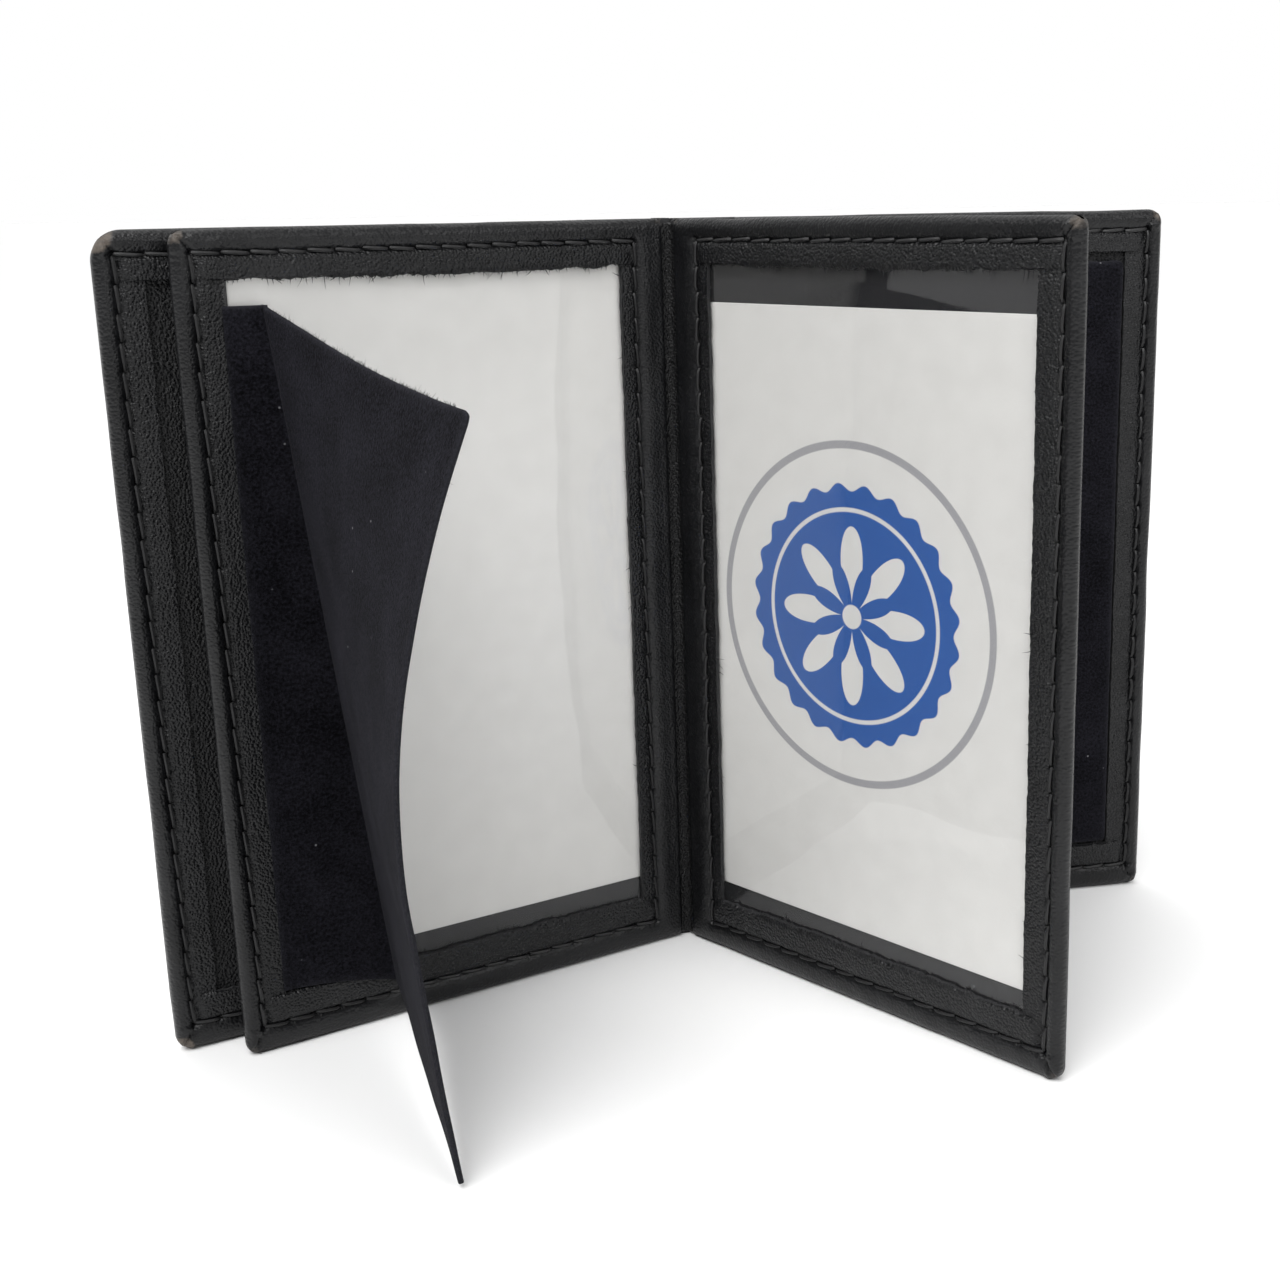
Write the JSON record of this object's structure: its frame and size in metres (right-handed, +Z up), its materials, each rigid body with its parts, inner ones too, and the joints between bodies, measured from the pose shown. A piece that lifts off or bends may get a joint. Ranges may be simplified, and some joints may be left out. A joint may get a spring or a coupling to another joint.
{
  "type": "double identity-card case",
  "caption": "Folding black leather case for identity cards: windowed leaves with felt flaps between two covers, all turning about one spine, standing half open.",
  "frame": {"origin": "on the floor, under the middle of the open case's bounding box", "axes": "+Z up; +X to the right along the open case's widest side, as seen from its open side; +Y from the open side towards the spine and the backs of the covers"},
  "size_m": [0.151, 0.0992, 0.1143],
  "materials": {
    "leather": "satin, fine grain",
    "strip_leather": "satin, fine grain",
    "lining": "matt",
    "felt": "matt felt",
    "vinyl": "clear, glossy",
    "card": "matt",
    "backing": "matt felt",
    "board": "matt",
    "thread": "waxed"
  },
  "bodies": {
    "spine": {"spine_tab": "leather", "inner_spine_leather": "strip_leather", "cover_spine_leather": "leather"},
    "left_leaf": {"left_leaf_back": "leather", "left_backing": "backing", "left_window": "vinyl", "left_leaf_strip_top": "strip_leather", "left_leaf_strip_bottom": "strip_leather", "left_leaf_strip_spine": "strip_leather", "left_leaf_strip_outer": "strip_leather", "left_leaf_thread": "thread", "left_flap_root": "felt"},
    "left_cover": {"left_cover_leather": "leather", "left_cover_board": "board", "left_cover_panel": "lining", "left_cover_strip_top": "strip_leather", "left_cover_strip_bottom": "strip_leather", "left_cover_strip_spine": "strip_leather", "left_cover_strip_outer": "strip_leather", "left_cover_thread": "thread"},
    "left_flap": {"left_flap": "felt"},
    "left_card": {"left_card": "card"},
    "right_leaf": {"right_leaf_back": "leather", "right_backing": "backing", "right_window": "vinyl", "right_leaf_strip_top": "strip_leather", "right_leaf_strip_bottom": "strip_leather", "right_leaf_strip_spine": "strip_leather", "right_leaf_strip_outer": "strip_leather", "right_leaf_thread": "thread"},
    "right_cover": {"right_cover_leather": "leather", "right_cover_board": "board", "right_cover_panel": "lining", "right_cover_strip_top": "strip_leather", "right_cover_strip_bottom": "strip_leather", "right_cover_strip_spine": "strip_leather", "right_cover_strip_outer": "strip_leather", "right_cover_thread": "thread"},
    "right_flap": {"right_flap": "felt"},
    "right_card": {"right_card": "card"}
  },
  "joints": [
    {"name": "left_leaf_hinge", "type": "hinge", "parent": "spine", "child": "left_leaf", "pos_m": [-0.00254, 0.03023, 0], "axis": [0, 0, -1], "range_deg": [-58.6, 29.4], "deforming": ["inner_spine_leather"]},
    {"name": "left_cover_hinge", "type": "hinge", "parent": "left_leaf", "child": "left_cover", "pos_m": [-0.00254, 0.03023, 0], "axis": [0, 0, -1], "range_deg": [-2.8, 55.2], "deforming": ["cover_spine_leather"]},
    {"name": "right_leaf_hinge", "type": "hinge", "parent": "spine", "child": "right_leaf", "pos_m": [-0.00254, 0.03023, 0], "axis": [0, 0, 1], "range_deg": [-44.9, 43.1], "deforming": ["inner_spine_leather"]},
    {"name": "right_cover_hinge", "type": "hinge", "parent": "right_leaf", "child": "right_cover", "pos_m": [-0.00254, 0.03023, 0], "axis": [0, 0, 1], "range_deg": [-54.6, 3.4], "deforming": ["cover_spine_leather"]},
    {"name": "left_flap_hinge", "type": "hinge", "parent": "left_leaf", "child": "left_flap", "pos_m": [-0.04461, 0.00473, 0.0086], "axis": [0.0981, 0.0599, -0.9934], "range_deg": [-103, 47]},
    {"name": "right_flap_hinge", "type": "hinge", "parent": "right_cover", "child": "right_flap", "pos_m": [0.06915, 0.04562, 0], "axis": [0, 0, 1], "range_deg": [0, 120], "deforming": ["right_flap"]},
    {"name": "left_card_slide", "type": "slide", "parent": "left_leaf", "child": "left_card", "axis": [0, 0, 1], "range_m": [-0.0068, 0.0015]},
    {"name": "right_card_slide", "type": "slide", "parent": "right_leaf", "child": "right_card", "axis": [0, 0, 1], "range_m": [-0.0063, 0.008]}
  ]
}
